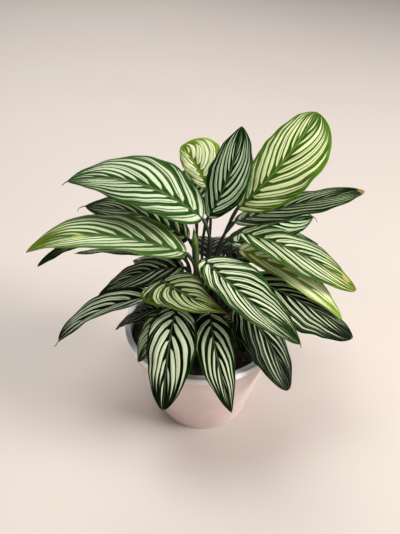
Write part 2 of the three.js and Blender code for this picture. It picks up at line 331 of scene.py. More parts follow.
def soilHeight(x, y):
    share = min(math.hypot(x, y) / (potPlan["rimRadius"] - potPlan["lipWidth"]), 1)
    return soilPlan["top"] + soilPlan["crownRise"] * (1 - share * share)


def soilMaterial():
    material, tree, shader = newMaterial("darkPeat")
    broad = objectNoise(tree, 120, 6, 0.7)
    barkShare = fade(broad, 0.35, 0.7)
    colour = mix(barkShare, soilPlan["peat"], soilPlan["bark"])
    fibres = fade(objectNoise(tree, 700, 4, 0.8, (1, 0.25, 1)), 0.6, 0.75)
    colour = mix(times(fibres, 0.4), colour, soilPlan["fibre"])
    roughness = fade(broad, 0.2, 0.8, 0.75, 1.0)
    finishLooks(shader, colour, roughness, objectNoise(tree, 900, 8, 0.75), 0.8, 0.0012)
    return material


def stoneMaterial():
    material, tree, shader = newMaterial("perliteGrain")
    clouds = objectNoise(tree, 500, 4, 0.6)
    dirt = fade(clouds, 0.3, 0.7)
    colour = mix(dirt, soilPlan["stone"], soilPlan["dirtyStone"])
    roughness = fade(clouds, 0.2, 0.8, 0.75, 0.95)
    finishLooks(shader, colour, roughness, objectNoise(tree, 1400, 4), 0.5, 0.0005)
    return material


# loose crumbs of peat, a few of them pale stones
def scatterCrumbs(bm):
    dice = random.Random(11)
    for crumb in range(soilPlan["crumbs"]):
        turn, reach = dice.uniform(0, 2 * math.pi), soilPlan["edgeRadius"] * math.sqrt(dice.random()) * 0.97
        x, y = reach * math.cos(turn), reach * math.sin(turn)
        size = dice.uniform(*soilPlan["crumbSize"])
        isStone = dice.random() < soilPlan["stoneShare"]
        made = bmesh.ops.create_icosphere(bm, subdivisions=1, radius=size * mm)["verts"]
        squash = Matrix.Diagonal((dice.uniform(0.7, 1.4), dice.uniform(0.7, 1.3), dice.uniform(0.5, 0.9), 1))
        spin = Matrix.Rotation(dice.uniform(0, 6), 4, Vector((dice.random(), dice.random(), 1)))
        lift = Matrix.Translation((x * mm, y * mm, (soilHeight(x, y) + dice.uniform(-0.3, 0.7)) * mm))
        bmesh.ops.transform(bm, matrix=lift @ spin @ squash, verts=made)
        for vert in made:
            vert.co += noise.noise_vector(vert.co * 900) * size * 0.25 * mm
            for face in vert.link_faces:
                face.material_index = 1 if isStone else 0


def makeSoil():
    bm = bmesh.new()
    edge, rings = soilPlan["edgeRadius"], soilPlan["rings"]
    radii = [edge * index / rings for index in range(rings, -1, -1)]
    foot = (soilPlan["footRadius"], soilPlan["top"] - soilPlan["depth"])
    drawProfile(bm, [foot] + [(radius, soilHeight(radius, 0)) for radius in radii])
    spinProfile(bm, soilPlan["steps"])
    bmesh.ops.remove_doubles(bm, verts=bm.verts[:], dist=0.02 * mm)
    low = min(vert.co.z for vert in bm.verts)
    bmesh.ops.contextual_create(bm, geom=[part for part in bm.edges if part.is_boundary])
    bmesh.ops.recalc_face_normals(bm, faces=bm.faces[:])
    # lumps and clods on top, flatter where it meets the pot
    for vert in bm.verts:
        if vert.co.z < low + mm:
            continue
        place = vert.co / mm
        calm = ease(edge, edge - soilPlan["calmEdge"], place.xy.length)
        lump = soilPlan["lumps"] * noise.fractal(place * 0.16, 0.9, 2.1, 5)
        clod = soilPlan["clods"] * max(noise.noise(place * 0.42), 0) ** 0.7
        vert.co.z += (lump + clod - soilPlan["settle"]) * mm * (0.35 + 0.65 * calm)
    scatterCrumbs(bm)
    finishPiece("pottingMix", bm, [soilMaterial(), stoneMaterial()], "soil")


# foot, neck and tip in mm; lift, drop and sway bend the midrib; roll and twist turn the blade about it;
# fold lifts both halves; skew makes the right half wider; blunt rounds the tip.
plainLeaf = {
    "lift": 12, "drop": 10, "sway": 0, "width": 44, "roll": 0, "twist": 0, "fold": 8, "skew": 0,
    "taper": 0, "blunt": 0, "wave": 1.2, "tail": 0,
    "tone": "dark", "bands": 10, "share": 0.6, "double": 1, "spread": 0.78, "dryTip": 0.006, "yellow": 0,
    "spot": None,        # a blemish: its place along and across, its length and breadth, and how dry it is
}
# leaves under or behind others also get a low share, narrower pale bands, as painted shade
leafPlan = {
    "left_high": dict(
        foot=(-10, 5), neck=(0, 4, 219), tip=(-115, 22, 245), lift=25, drop=21, width=56, roll=22,
        skew=0.15, blunt=-0.08, tone="fresh", bands=12, share=0.62, tail=13),
    "left_shaded": dict(
        foot=(-15, 13), neck=(-13, 26, 184), tip=(-112, 56, 202), lift=14, drop=12, width=46, roll=15,
        tone="shaded", share=0.36, tail=20),
    "left_long": dict(
        foot=(-18, -2), neck=(-14, -4, 189), tip=(-152, -8, 193), lift=18, drop=30, width=46, roll=12,
        fold=20, skew=0.1, tone="leafy", bands=11, share=0.56, yellow=0.5, dryTip=0.02,
        spot=(0.66, -0.12, 0.05, 0.22, 0)),
    "left_edge": dict(
        foot=(-21, 7), neck=(-17, 12, 172), tip=(-151, 7, 167), lift=20, drop=44, width=16, roll=-34,
        twist=60, blunt=0.3, tone="shaded", share=0.3),
    "left_under": dict(
        foot=(-24, 17), neck=(-25, 33, 158), tip=(-127, 46, 154), lift=12, drop=8, width=20, roll=-8,
        tone="shaded", dryTip=0.03),
    "left_low": dict(
        foot=(-26, 1), neck=(-17, 4, 168), tip=(-99, 7, 134), lift=12, drop=11, width=38, roll=8,
        tone="deepBright", share=0.38),
    "left_front": dict(
        foot=(-27, -9), neck=(-38, -26, 160), tip=(-130, -38, 117), lift=14, drop=20, width=30, roll=2,
        fold=26, skew=0.1, blunt=0.35, tone="wide", bands=7, share=0.56, spread=0.93, tail=22),
    "left_dark": dict(
        foot=(-26, -16), neck=(-30, -20, 137), tip=(-84, -10, 104), lift=14, drop=14, width=28,
        tone="deep", share=0.36),
    "front_small": dict(
        foot=(-14, -10), neck=(-36, -20, 172), tip=(18, -64, 174), lift=6, drop=4, sway=7, width=53,
        fold=10, skew=0.05, taper=-0.2, blunt=-0.3, tone="olive", bands=9, share=0.58, yellow=0.6, tail=6),
    "front_broad": dict(
        foot=(6, -7), neck=(1, -20, 194), tip=(78, -76, 151), lift=12, drop=12, sway=12, width=50,
        fold=18, skew=-0.15, tone="bright", bands=12, share=0.58, tail=3),
    "hanging_left": dict(
        foot=(-14, -22), neck=(-22, -44, 163), tip=(-34, -95, 92), lift=22, drop=20, width=42, skew=-0.08,
        blunt=0.2, tone="wide", bands=8, share=0.68, double=0.3),
    "hanging_middle": dict(
        foot=(0, -24), neck=(6, -42, 155), tip=(24, -95, 89), lift=20, drop=16, sway=6, width=34,
        bands=8, share=0.52, double=0.5),
    "hanging_right": dict(
        foot=(12, -20), neck=(28, -30, 150), tip=(79, -62, 80), lift=24, drop=22, width=52, skew=0.05,
        blunt=0.25, tone="deep", bands=9, share=0.28),
    "rim_left": dict(
        foot=(-21, -22), neck=(-26, -32, 142), tip=(-57, -58, 111), lift=12, drop=10, width=36,
        tone="bright"),
    "front_inner": dict(
        foot=(7, -27), neck=(16, -30, 138), tip=(36, -58, 122), lift=12, drop=12, width=26, tone="deep",
        share=0.36),
    "right_long": dict(
        foot=(10, 9), neck=(27, 9, 213), tip=(140, 28, 233), lift=4, drop=4, width=40, blunt=0.2,
        tone="grey", bands=11, share=0.45, dryTip=0.04),
    "right_middle": dict(
        foot=(15, -2), neck=(31, 4, 206), tip=(143, 2, 144), lift=12, drop=12, width=50, roll=-10,
        taper=0.1, blunt=0.2, tone="warm", bands=11, share=0.58, wave=1.4, yellow=0.5,
        spot=(0.9, -0.3, 0.045, 0.34, 0.75)),
    "right_small": dict(
        foot=(24, 13), neck=(48, 45, 181), tip=(113, 80, 176), lift=6, drop=2, width=38, roll=-32,
        tone="blue", bands=7, share=0.5, tail=8),
    "right_pale": dict(
        foot=(21, 3), neck=(31, 6, 187), tip=(127, -22, 128), lift=11, drop=16, width=34, roll=-14,
        skew=-0.4, blunt=0.1, tone="pale", bands=8, share=0.8, spread=0.9),
    "right_low": dict(
        foot=(17, -13), neck=(35, -6, 165), tip=(138, -30, 113), lift=11, drop=12, roll=-22,
        fold=-4, skew=0.15, blunt=0.2, tone="deepBright", share=0.44, spread=0.86),
    "tall_right": dict(
        foot=(7, 14), neck=(29, 11, 225), tip=(93, 42, 297), lift=4, drop=8, sway=13, width=52, roll=-34,
        skew=0.15, taper=0.2, blunt=0.2, tone="young", bands=12, share=0.64),
    "tall_middle": dict(
        foot=(2, 6), neck=(4, 15, 213), tip=(31, 30, 290), lift=2, drop=4, sway=10, width=38, roll=-30,
        fold=10, skew=0.02, taper=0.25, tone="standing", spread=0.93),
    "young_curled": dict(
        foot=(-2, 20), neck=(4, 38, 230), tip=(-18, 38, 270), lift=4, drop=4, width=37, roll=75,
        skew=0.45, blunt=0.25, tone="lime", bands=8, share=0.8),
    "back_high": dict(
        foot=(-7, 25), neck=(-6, 46, 196), tip=(-12, 110, 214), lift=12, drop=16, width=48, share=0.34,
        tone="deep"),
    "back_left": dict(
        foot=(-12, 30), neck=(-22, 48, 168), tip=(-86, 118, 168), lift=16, drop=16, width=50, share=0.5),
    "back_right": dict(
        foot=(10, 20), neck=(28, 46, 165), tip=(128, 98, 130), lift=16, drop=16, width=48, tone="blue",
        bands=8, share=0.45),
    "back_low": dict(
        foot=(2, 28), neck=(8, 39, 154), tip=(13, 116, 118), lift=20, drop=22, width=46, share=0.34,
        tone="deep"),
    "back_left_low": dict(
        foot=(-21, 30), neck=(-34, 42, 142), tip=(-72, 96, 102), lift=20, drop=20, share=0.5),
    "back_right_low": dict(
        foot=(14, 28), neck=(31, 47, 143), tip=(72, 104, 103), lift=20, drop=20, tone="deep", share=0.36),
}
# deep green, pale band, and the green of the margin. Each leaf's tone is set to how bright that leaf looks
# where it stands, so the tones hold the leaves' own colours and also painted light and shade: shaded and deep
# are darker copies, painted shade for leaves under or behind others; deepBright pairs a ground darkened as
# painted shade with bands lightened as painted light; standing and pale are lighter copies, painted light for
# leaves that lie in shadow.
tones = {
    "fresh": ((32, 60, 16), (196, 208, 170), (50, 90, 28)),
    "shaded": ((9, 22, 3), (166, 178, 132), (30, 50, 12)),
    "leafy": ((60, 88, 36), (214, 224, 182), (74, 114, 40)),
    "warm": ((30, 50, 12), (216, 228, 180), (64, 104, 28)),
    "dark": ((4, 15, 2), (212, 222, 182), (24, 56, 12)),
    "bright": ((10, 28, 4), (204, 214, 174), (40, 84, 22)),
    "wide": ((4, 15, 1), (230, 240, 202), (20, 52, 10)),
    "deep": ((1, 7, 1), (170, 180, 146), (12, 36, 8)),
    "deepBright": ((3, 14, 2), (206, 216, 172), (16, 46, 11)),
    "olive": ((20, 32, 3), (188, 198, 144), (78, 100, 18)),
    "grey": ((4, 18, 1), (172, 188, 142), (32, 62, 12)),
    "standing": ((11, 36, 9), (226, 250, 204), (40, 88, 28)),
    "blue": ((4, 22, 5), (196, 216, 168), (20, 56, 16)),
    "lime": ((98, 124, 24), (250, 255, 206), (142, 170, 44)),
    "pale": ((120, 148, 46), (255, 255, 206), (126, 154, 46)),
    "young": ((58, 90, 14), (246, 255, 190), (90, 134, 24)),
}
bladePlan = {
    "baseShape": 0.5, "tipShape": 0.82, "leastHalf": 0.4, "sag": 0.16,   # the outline, as on the solids
    "stations": 116, "lanes": 34, "thickness": 0.45,
    "pleat": 0.22,       # height of the soft ribs that follow the bands
    "groove": 0.5, "grooveWidth": 1.5,   # the channel over the midrib
    "uneven": 0.07,      # how far the margins wander, as a share of the half width
    "spread": 0.95,      # how far back on the midrib the bands start that meet the margin near the base
    "spreadPower": 0.85,
    "basePace": 1.3, "paceLoss": 0.36,   # the bands are narrower near the base
    "wander": 0.16,      # how far a band strays, as a share of its width
    "halfShift": 0.4,    # the bands of the two halves don't meet
    "slowWaves": (1.5, 2.6), "quickWaves": (4, 7), "quickShare": 0.35,
}
stalkPlan = {
    "footRadius": 1.6, "neckRadius": 1.25, "straight": 7, "reach": 0.35, "upright": 0.8, "buried": 12,
    "steps": 34, "sides": 12,
    "knuckle": 0.35,     # how much thicker the joint under the blade is
    "flare": 0.35,       # how much thicker the foot is
    "ribSteps": 26, "ribRadius": 1.0, "ribTip": 0.22, "ribEnd": 0.97,
    "purple": paint(22, 9, 12), "green": paint(18, 24, 9), "knuckleGreen": paint(30, 44, 16),
    "rib": paint(92, 120, 62), "paleRib": paint(122, 146, 88),
}
tailPlan = {
    "steps": 14, "sides": 6, "overlap": 1.5,
    "breadth": (0.8, 0.25), "depth": (0.45, 0.2),   # at its start and its end
    "bend": (0.1, 0.2), "droop": 0.12, "kink": 0.1,
    "brown": paint(66, 42, 28), "tan": paint(124, 90, 60),
}


def midribOf(leaf):
    neck, tip = Vector(leaf["neck"]), Vector(leaf["tip"])
    chord = tip - neck
    right = Vector((chord.y, -chord.x, 0)).normalized()
    first = neck + chord / 3 + up * leaf["lift"] + right * leaf["sway"]
    second = neck + chord * 2 / 3 + up * leaf["drop"] + right * leaf["sway"]
    return (neck, first, second, tip), right


def bladeFrame(leaf, midrib, right, share):
    ahead = cubicAhead(midrib, share)
    side = (right - ahead * right.dot(ahead)).normalized()
    normal = side.cross(ahead)
    turn = math.radians(leaf["roll"] + leaf["twist"] * share)
    turnedSide = side * math.cos(turn) + normal * math.sin(turn)
    return cubicPoint(midrib, share), ahead, turnedSide, normal * math.cos(turn) - side * math.sin(turn)


def halfWidth(leaf, share):
    baseShape = bladePlan["baseShape"] + leaf["taper"]
    tipShape = bladePlan["tipShape"] - leaf["blunt"]
    widest = baseShape / (baseShape + tipShape)
    outline = (share / widest) ** baseShape * ((1 - share) / (1 - widest)) ** tipShape
    return max(leaf["width"] / 2 * outline, bladePlan["leastHalf"])


# Counts the bands from the base: a whole number lies in the middle of a dark gap.
def veinCount(leaf, share, lane, seed):
    spread = blend(bladePlan["spread"], leaf["spread"], ease(0.05, 0.45, share))
    origin = share * (1 - spread * abs(lane) ** bladePlan["spreadPower"])
    wander = bladePlan["wander"] * noise.noise(Vector((share * 5, lane * 1.3, seed)))
    return leaf["bands"] * origin * (bladePlan["basePace"] - bladePlan["paceLoss"] * origin) + wander


# How far the blade rises off its flat sheet: folded, sagging, pleated, grooved and wavy at the margins.
def bladeRise(leaf, share, lane, reach, seed, waves, ripples):
    half = 1 if lane > 0 else 0
    rise = reach * (abs(lane) * math.sin(math.radians(leaf["fold"])) - bladePlan["sag"] * lane * lane)
    count = veinCount(leaf, share, lane, seed) + bladePlan["halfShift"] * half
    calm = ease(0.02, 0.2, share) * ease(1, 0.85, share)
    rise -= bladePlan["pleat"] * math.cos(2 * math.pi * count) * ease(0.08, 0.3, abs(lane)) * calm
    rise -= bladePlan["groove"] * math.exp(-(reach * lane / bladePlan["grooveWidth"]) ** 2) * calm
    pace, start, size = waves[half]
    quickPace, quickStart = ripples[half]
    ruffle = size * math.sin(2 * math.pi * pace * share + start)
    ruffle += bladePlan["quickShare"] * math.sin(2 * math.pi * quickPace * share + quickStart)
    return rise + leaf["wave"] * abs(lane) ** 3 * ruffle * calm


def makeBlade(bm, leaf, seed):
    midrib, right = midribOf(leaf)
    veinMap = bm.loops.layers.uv.new("veins")
    spanMap = bm.loops.layers.uv.new("span")
    bm.verts.layers.float.new("along")
    stations, lanes = bladePlan["stations"], bladePlan["lanes"]
    bmesh.ops.create_grid(bm, x_segments=stations, y_segments=lanes, size=1)
    dice = random.Random(seed)
    slow, quick, wholeTurn = bladePlan["slowWaves"], bladePlan["quickWaves"], 6.3
    waves = [(dice.uniform(*slow), dice.uniform(0, wholeTurn), dice.uniform(0.6, 1)) for half in (0, 1)]
    ripples = [(dice.uniform(*quick), dice.uniform(0, wholeTurn)) for half in (0, 1)]
    flat = math.cos(math.radians(leaf["fold"]))
    frames, spans = {}, {}
    for vert in bm.verts:
        column = round((vert.co.x + 1) / 2 * stations)
        even = column / stations
        # closer together at the base and the tip
        share = 0.5 * even + 0.5 * (0.5 - 0.5 * math.cos(math.pi * even))
        lane = vert.co.y
        if column not in frames:
            frames[column] = bladeFrame(leaf, midrib, right, share)
        centre, ahead, side, normal = frames[column]
        spans[vert] = (share, lane)
        half = 1 if lane > 0 else 0
        reach = halfWidth(leaf, share) * (1 + leaf["skew"] * (lane > 0) - leaf["skew"] * (lane < 0))
        reach *= 1 + bladePlan["uneven"] * noise.noise(Vector((share * 9, half * 7, seed * 2.3)))
        rise = bladeRise(leaf, share, lane, reach, seed, waves, ripples)
        vert.co = (centre + side * (reach * lane * flat) + normal * rise) * mm
    # the two halves draw their bands from counts that never meet
    farShift = 40 + bladePlan["halfShift"]
    for face in bm.faces:
        half = 1 if sum(spans[vert][1] for vert in face.verts) > 0 else 0
        for loop in face.loops:
            share, lane = spans[loop.vert]
            loop[veinMap].uv = (veinCount(leaf, share, lane, seed) + farShift * half, lane)
            loop[spanMap].uv = (share, lane)
    # the sheet becomes a thin wall, its upper side along the blade's normal
    bm.normal_update()
    middle = min(bm.faces, key=lambda face: sum(abs(spans[vert][0] - 0.5) + abs(spans[vert][1])
                                                for vert in face.verts))
    if middle.normal.dot(frames[stations // 2][3]) < 0:
        bmesh.ops.reverse_faces(bm, faces=bm.faces[:])
    bm.normal_update()
    upper = set(bm.faces)
    bmesh.ops.solidify(bm, geom=bm.faces[:], thickness=bladePlan["thickness"] * mm)
    bm.normal_update()
    for face in bm.faces:
        face.material_index = 0 if face in upper else 1
    return midrib, right


def makeStalk(bm, leaf, midrib, right):
    centre, ahead, side, normal = bladeFrame(leaf, midrib, right, 0)
    neck, reach, steps = midrib[0], stalkPlan["reach"], stalkPlan["steps"]
    x, y = leaf["foot"]
    start = Vector((x, y, soilHeight(x, y) + stalkPlan["straight"]))
    length = (neck - start).length
    lean = (ahead + up * stalkPlan["upright"]).normalized()
    path = (start, start + up * length * reach, neck - lean * length * reach, neck)
    # frames are carried back from the neck
    places = []
    for index in range(steps, -1, -1):
        share = index / steps
        radius = blend(stalkPlan["footRadius"], stalkPlan["neckRadius"], share)
        radius *= 1 + stalkPlan["knuckle"] * ease(0.86, 0.93, share) * ease(1.02, 0.985, share)
        radius *= 1 + stalkPlan["flare"] * ease(0.28, 0.0, share)
        matrix = placeAt(cubicPoint(path, share) * mm, side, cubicAhead(path, share), radius * mm)
        side = matrix.col[0].xyz.normalized()
        places.insert(0, matrix)
    bottom = Vector((x, y, soilHeight(x, y) - stalkPlan["buried"]))
    places.insert(0, placeAt(bottom * mm, side, up, stalkPlan["footRadius"] * mm))
    # on under the blade as its rib
    for index in range(1, stalkPlan["ribSteps"] + 1):
        share = stalkPlan["ribEnd"] * index / stalkPlan["ribSteps"]
        centre, ahead, side, normal = bladeFrame(leaf, midrib, right, share)
        radius = blend(stalkPlan["ribRadius"], stalkPlan["ribTip"], share ** 0.7)
        sink = ease(0, 0.04, share) * (bladePlan["groove"] + 0.95 * radius)
        places.append(placeAt((centre - normal * sink) * mm, side, ahead, radius * mm))
    runs = sweepTube(bm, places, stalkPlan["sides"], 2)[0]
    # along counts 0 to 1 up the stalk, and on to 2 at the end of the rib
    along = bm.verts.layers.float["along"]
    stalkEnd = (steps + 1) / (len(places) - 1)
    for share, verts in runs:
        for vert in verts:
            vert[along] = min(share / stalkEnd, 1) + max(share - stalkEnd, 0) / (1 - stalkEnd)


def makeTail(bm, leaf, midrib, right, seed):
    dice = random.Random(seed + 500)
    centre, ahead, side, normal = bladeFrame(leaf, midrib, right, 1)
    steps, overlap, kink = tailPlan["steps"], tailPlan["overlap"], tailPlan["kink"]
    bend = dice.choice((-1, 1)) * dice.uniform(*tailPlan["bend"])
    centre = centre - ahead * overlap
    places = []
    for index in range(steps + 1):
        share = index / steps
        breadth, depth = blend(*tailPlan["breadth"], share), blend(*tailPlan["depth"], share)
        places.append(placeAt(centre * mm, side, ahead, breadth * mm, depth * mm))
        ahead = ahead + side * bend * math.sin(3 * share) - up * tailPlan["droop"]
        ahead = (ahead + normal * dice.uniform(-kink, kink)).normalized()
        centre = centre + ahead * (leaf["tail"] + overlap) / steps
    sweepTube(bm, places, tailPlan["sides"], 3)


# The markings: pale bands between dark gaps, many of them split by a thin dark line.
# Counts are in bands, lane runs 0 to 1 from the midrib to the margin, share 0 to 1 from the base to the tip.
markingPlan = {
    "grain": (2.2, 2.5), "ragged": 0.16,             # long thin noise that runs with the bands
    "startAt": 0.02, "startVaries": 0.04, "opening": 0.16, "openPower": 0.6,   # beside the midrib
    "taperFrom": 0.55, "taperTo": 0.98, "marginWidth": 0.5,
    "leastWidth": 0.84, "widthVaries": 0.28, "centre": 0.42, "centreVaries": 0.16, "softEdge": 0.05,
    "endsAt": 0.82, "endVaries": 0.2, "endTaper": 0.16,   # one after another before the tip
    "splitWidth": (0.03, 0.09), "splitStrength": 0.9, "splitChance": (0.3, 0.4),
    "hairWidth": (0.012, 0.035), "hairStrength": 0.65, "hairChance": (0.55, 0.6),
    "marginFrom": 0.93, "marginTo": 0.99,
    "fineRibs": 44,      # ribs in every band and gap, times two pi
    "agedGreen": paint(120, 134, 30), "agedPale": paint(222, 226, 120),
    "dryBrown": paint(96, 74, 34), "dryTan": paint(164, 144, 76),
    "blemishYellow": paint(188, 196, 62), "blemishTan": paint(186, 144, 104),
    "underGreen": paint(96, 128, 84), "underBloom": paint(120, 146, 104),
}


def uvParts(tree, name):
    place = addNode(tree, "ShaderNodeUVMap", uv_map=name).outputs[0]
    return addNode(tree, "ShaderNodeSeparateXYZ", {0: place}).outputs


def joinParts(tree, *parts):
    return addNode(tree, "ShaderNodeCombineXYZ", dict(enumerate(parts))).outputs[0]


# Gives how pale each point is, the run of the bands and the room left in each band.
def bandPattern(tree, given, grain, count, share, lane):
    plan = markingPlan
    ragged = placedNoise(grain, 2.0, 3.0)
    run = calc("ADD", count, times(minus(ragged, 0.5), plan["ragged"]))
    bandSeed = joinParts(tree, calc("FLOOR", run), given["Seed"])
    dice = addNode(tree, "ShaderNodeTexWhiteNoise", {"Vector": bandSeed}, noise_dimensions="2D").outputs[1]
    chance = addNode(tree, "ShaderNodeSeparateColor", {0: dice}).outputs
    # how wide the band is here
    bend = calc("POWER", lane, bladePlan["spreadPower"])
    spread = fade(share, 0.05, 0.45, bladePlan["spread"], given["Spread"])
    origin = times(share, calc("MULTIPLY_ADD", bend, times(spread, -1.0), 1.0))
    starts = calc("MULTIPLY_ADD", chance[1], plan["startVaries"], plan["startAt"])
    opens = fade(minus(lane, starts), 0.0, plan["opening"])
    opens = calc("POWER", opens, plan["openPower"])
    tapers = fade(lane, plan["taperFrom"], plan["taperTo"], 1.0, plan["marginWidth"])
    varies = calc("MULTIPLY_ADD", chance[1], plan["widthVaries"], plan["leastWidth"])
    nearTip = fade(origin, 0.7, 0.92, 1.0, 0.5)
    width = times(given["Share"], 0.5, opens, tapers, varies, nearTip)
    beyond = minus(share, calc("MULTIPLY_ADD", chance[2], plan["endVaries"], plan["endsAt"]))
    width = times(width, fade(beyond, -plan["endTaper"], 0.02, 1.0, 0.1))
    centre = calc("MULTIPLY_ADD", chance[0], plan["centreVaries"], plan["centre"])
    off = minus(calc("FRACT", run), centre)
    away = calc("ABSOLUTE", off)
    pale = fade(minus(away, width), -plan["softEdge"], plan["softEdge"], 1.0, 0.0)
    pale = times(pale, fade(origin, 0.78, 0.95, 1.0, 0.5))
    # the thin dark line in a band
    splitPlace = times(minus(chance[2], 0.5), width, 0.7)
    split = fade(calc("ABSOLUTE", minus(off, splitPlace)), *plan["splitWidth"], 1.0, 0.0)
    strength = fade(chance[0], *plan["splitChance"], 0.0, plan["splitStrength"])
    nearBase = fade(origin, 0.1, 0.2, plan["splitStrength"], 0.0)
    strength = calc("MAXIMUM", times(strength, given["Double"]), nearBase)
    split = times(split, strength, fade(lane, 0.06, 0.2))
    pale = times(pale, minus(1.0, split))
    # a thin pale line in some gaps
    fromGap = minus(calc("FRACT", calc("ADD", run, 0.5)), 0.5)
    hair = fade(calc("ABSOLUTE", fromGap), *plan["hairWidth"], plan["hairStrength"], 0.0)
    hair = times(hair, fade(lane, 0.3, 0.5), fade(chance[1], *plan["hairChance"]))
    pale = calc("MAXIMUM", pale, hair)
    # nothing pale on the margin or past the band's end
    reach = calc("ADD", lane, times(ragged, 0.1))
    pale = times(pale, fade(reach, plan["marginFrom"], plan["marginTo"], 1.0, 0.0))
    pale = times(pale, fade(beyond, -0.03, 0.02, 1.0, 0.05))
    return pale, run, minus(width, away)


def markingColours(given, pale, room, lane, clouds, fine):
    greener = mix(0.45, given["Pale"], given["Margin"])
    towardsEdge = times(fade(lane, 0.45, 0.95), 0.5)
    bandEdge = fade(room, 0.0, 0.1, 0.6, 0.0)
    paleColour = mix(calc("MAXIMUM", towardsEdge, bandEdge), given["Pale"], greener)
    paleColour = mix(times(fade(fine, 0.5, 0.75), 0.35), paleColour, greener)
    lighter = mix(0.35, given["Deep"], given["Margin"])
    deepColour = mix(fade(clouds, 0.35, 0.7), given["Deep"], lighter)
    deepColour = mix(fade(lane, 0.86, 0.97, 0.0, 0.7), deepColour, given["Margin"])
    # a lighter line along the midrib: painted sheen in its groove
    midribSheen = mix(0.2, given["Margin"], given["Pale"])
    deepColour = mix(fade(lane, 0.01, 0.05, 0.4, 0.0), deepColour, midribSheen)
    return mix(pale, deepColour, paleColour)


# Yellow in patches towards the tip, then a dry brown end and rim.
def addAge(given, colour, pale, share, lane, clouds, fine):
    plan = markingPlan
    patchy = fade(calc("ADD", share, times(clouds, 0.5)), 0.85, 1.3)
    aged = mix(pale, plan["agedGreen"], plan["agedPale"])
    colour = mix(times(patchy, given["Yellow"]), colour, aged)
    dryLength = times(given["Dry Tip"], calc("MULTIPLY_ADD", clouds, 1.2, 0.4))
    dry = fade(minus(minus(1.0, share), dryLength), -0.008, 0.012, 1.0, 0.0)
    rim = times(fade(lane, 0.975, 0.995), fade(clouds, 0.55, 0.65), 0.8)
    dryColour = mix(fade(fine, 0.4, 0.6), plan["dryBrown"], plan["dryTan"])
    return mix(calc("MAXIMUM", dry, rim), colour, dryColour)


def markingsGroup():
    tree = bpy.data.node_groups.new("calatheaMarkings", "ShaderNodeTree")
    for way, kind, names in (
            ("INPUT", "Color", ("Deep", "Pale", "Margin")),
            ("INPUT", "Float", ("Share", "Double", "Spread", "Dry Tip", "Yellow", "Seed")),
            ("OUTPUT", "Color", ("Colour",)), ("OUTPUT", "Float", ("Pale Share", "Height"))):
        for name in names:
            tree.interface.new_socket(name, in_out=way, socket_type="NodeSocket" + kind)
    given = tree.nodes.new("NodeGroupInput").outputs
    result = tree.nodes.new("NodeGroupOutput")
    count = uvParts(tree, "veins")[0]
    span = uvParts(tree, "span")
    share, lane = span[0], calc("ABSOLUTE", span[1])
    alongGrain, acrossGrain = markingPlan["grain"]
    grain = joinParts(tree, times(count, alongGrain), times(span[1], acrossGrain), given["Seed"])
    pale, run, room = bandPattern(tree, given, grain, count, share, lane)

    cloudPlace = joinParts(tree, times(share, 6.0), times(span[1], 2.0), given["Seed"])
    clouds = placedNoise(cloudPlace, 1.4, 4.0)
    fine = placedNoise(grain, 9.0, 4.0, 0.65)
    colour = markingColours(given, pale, room, lane, clouds, fine)
    ribs = calc("SINE", times(run, markingPlan["fineRibs"]))
    ribShade = calc("MULTIPLY_ADD", ribs, 0.05, 0.95)
    ribGrey = addNode(tree, "ShaderNodeCombineColor", {0: ribShade, 1: ribShade, 2: ribShade}).outputs[0]
    colour = mix(1.0, colour, ribGrey, "MULTIPLY")
    colour = addAge(given, colour, pale, share, lane, clouds, fine)
    connect(colour, result.inputs["Colour"])
    connect(pale, result.inputs["Pale Share"])
    connect(calc("MULTIPLY_ADD", ribs, 0.5, fine), result.inputs["Height"])
    return tree


def addMarkings(tree, group, leaf, seed):
    deep, pale, margin = (paint(*colour) for colour in tones[leaf["tone"]])
    inputs = {
        "Deep": deep, "Pale": pale, "Margin": margin, "Share": leaf["share"], "Double": leaf["double"],
        "Spread": leaf["spread"], "Dry Tip": leaf["dryTip"], "Yellow": leaf["yellow"], "Seed": seed * 3.7,
    }
    return addNode(tree, "ShaderNodeGroup", inputs, node_tree=group).outputs


def vectorCalc(operation, first, second=(0, 0, 0)):
    return addNode(first.id_data, "ShaderNodeVectorMath", {0: first, 1: second}, operation=operation).outputs


# A dried patch with a yellow rim.
def addBlemish(tree, colour, spot, patches):
    along, across, length, breadth, dryness = spot
    span = addNode(tree, "ShaderNodeUVMap", uv_map="span").outputs[0]
    offset = vectorCalc("SUBTRACT", span, (along, across, 0))[0]
    scaled = vectorCalc("MULTIPLY", offset, (1 / length, 1 / breadth, 0))[0]
    away = vectorCalc("LENGTH", scaled)["Value"]
    away = calc("MULTIPLY_ADD", patches, 0.8, minus(away, 0.4))
    yellow, tan = markingPlan["blemishYellow"], markingPlan["blemishTan"]
    yellowed = mix(fade(away, 0.5, 1.2, 0.62, 0.0), colour, yellow)
    return mix(fade(away, 0.45, 0.8, dryness, 0.0), yellowed, tan)


def upperMaterial(name, group, leaf, seed):
    material, tree, shader = newMaterial("upperSide_" + name)
    marks = addMarkings(tree, group, leaf, seed)
    patches = objectNoise(tree, 45, 4, 0.6)
    colour = marks["Colour"]
    if leaf["spot"]:
        colour = addBlemish(tree, colour, leaf["spot"], patches)
    roughness = calc("ADD", fade(patches, 0.3, 0.7, 0.22, 0.34), times(marks["Pale Share"], 0.06))
    finishLooks(shader, colour, roughness, marks["Height"], 0.25, 0.0003)
    shader.inputs["Specular IOR Level"].default_value = 0.025
    return material


def underMaterial(name, group, leaf, seed):
    material, tree, shader = newMaterial("underSide_" + name)
    marks = addMarkings(tree, group, leaf, seed)
    duller = mix(0.5, marks["Colour"], markingPlan["underGreen"])
    bloom = fade(objectNoise(tree, 60, 4), 0.3, 0.7, 0.1, 0.4)
    colour = mix(bloom, duller, markingPlan["underBloom"])
    finishLooks(shader, colour, 0.62, marks["Height"], 0.35, 0.0004)
    shader.inputs["Specular IOR Level"].default_value = 0.3
    return material


